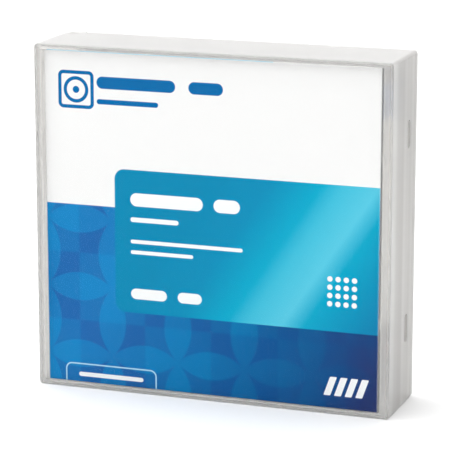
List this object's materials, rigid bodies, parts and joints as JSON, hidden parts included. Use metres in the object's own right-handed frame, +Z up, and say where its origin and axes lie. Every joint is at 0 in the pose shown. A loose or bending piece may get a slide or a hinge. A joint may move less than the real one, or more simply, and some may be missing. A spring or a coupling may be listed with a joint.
{
  "type": "data tape cartridge in its storage case",
  "caption": "Half-inch data tape cartridge with reel, brake and leader pin, in its closed, hinged, frosted storage case with an insert card.",
  "frame": {"origin": "middle of the closed case's bottom face", "axes": "+X along the case's width to its opening edge, -Y out of the front face with the card, +Z up"},
  "size_m": [0.116, 0.027, 0.11],
  "materials": {
    "frosted_case": "frosted translucent polypropylene, fine matt moulded skin",
    "printed_card": "printed card, semi-gloss",
    "cartridge_plastic": "fine spark-eroded texture",
    "reel_plastic": "smooth natural moulding",
    "clip_plastic": "smooth acetal",
    "tab_plastic": "smooth red moulding",
    "plated_steel": "zinc plated",
    "spring_steel": "drawn stainless wire",
    "tape_film": "dark coated film",
    "chip_board": "solder resist over board"
  },
  "bodies": {
    "base": {"case_base": "frosted_case", "upper_shell": "cartridge_plastic", "lower_shell": "cartridge_plastic", "shell_screws": "plated_steel", "memory_chip": "chip_board", "leader_pin": "plated_steel", "pin_clip": "clip_plastic", "pin_springs": "spring_steel", "leader_tape": "tape_film", "door_spring": "spring_steel", "brake_spring": "spring_steel"},
    "lid": {"case_lid": "frosted_case", "insert_card": "printed_card"},
    "reel": {"reel_hub": "reel_plastic", "reel_flange": "reel_plastic", "clutch_plate": "plated_steel", "tape_pack": "tape_film"},
    "brake": {"brake_plate": "clip_plastic"},
    "release": {"release_plate": "tab_plastic"},
    "door": {"door": "cartridge_plastic"},
    "write_protect": {"write_protect_tab": "tab_plastic"}
  },
  "joints": [
    {"name": "lid_hinge", "type": "hinge", "parent": "base", "child": "lid", "pos_m": [-0.054, 0.0095, 0.055], "axis": [0, 0, -1], "range_deg": [0, 120]},
    {"name": "reel_spin", "type": "hinge", "parent": "base", "child": "reel", "pos_m": [0.0027, 0, 0.055], "axis": [0, 1, 0], "continuous": true},
    {"name": "release_push", "type": "slide", "parent": "reel", "child": "release", "axis": [0, -1, 0], "range_m": [0, 0.0018]},
    {"name": "brake_lift", "type": "slide", "parent": "base", "child": "brake", "axis": [0, -1, 0], "range_m": [0, 0.0018], "stiffness_N_per_m": 600, "springref_m": -0.004, "deforming": ["brake_spring"]},
    {"name": "door_slide", "type": "slide", "parent": "base", "child": "door", "axis": [1, 0, 0], "range_m": [0, 0.019], "stiffness_N_per_m": 15, "springref_m": -0.02, "deforming": ["door_spring"]},
    {"name": "write_protect_slide", "type": "slide", "parent": "base", "child": "write_protect", "axis": [0, 0, 1], "range_m": [0, 0.0046]}
  ],
  "couplings": [
    {"joint": "release_push", "follows": "brake_lift", "ratio": 1}
  ]
}
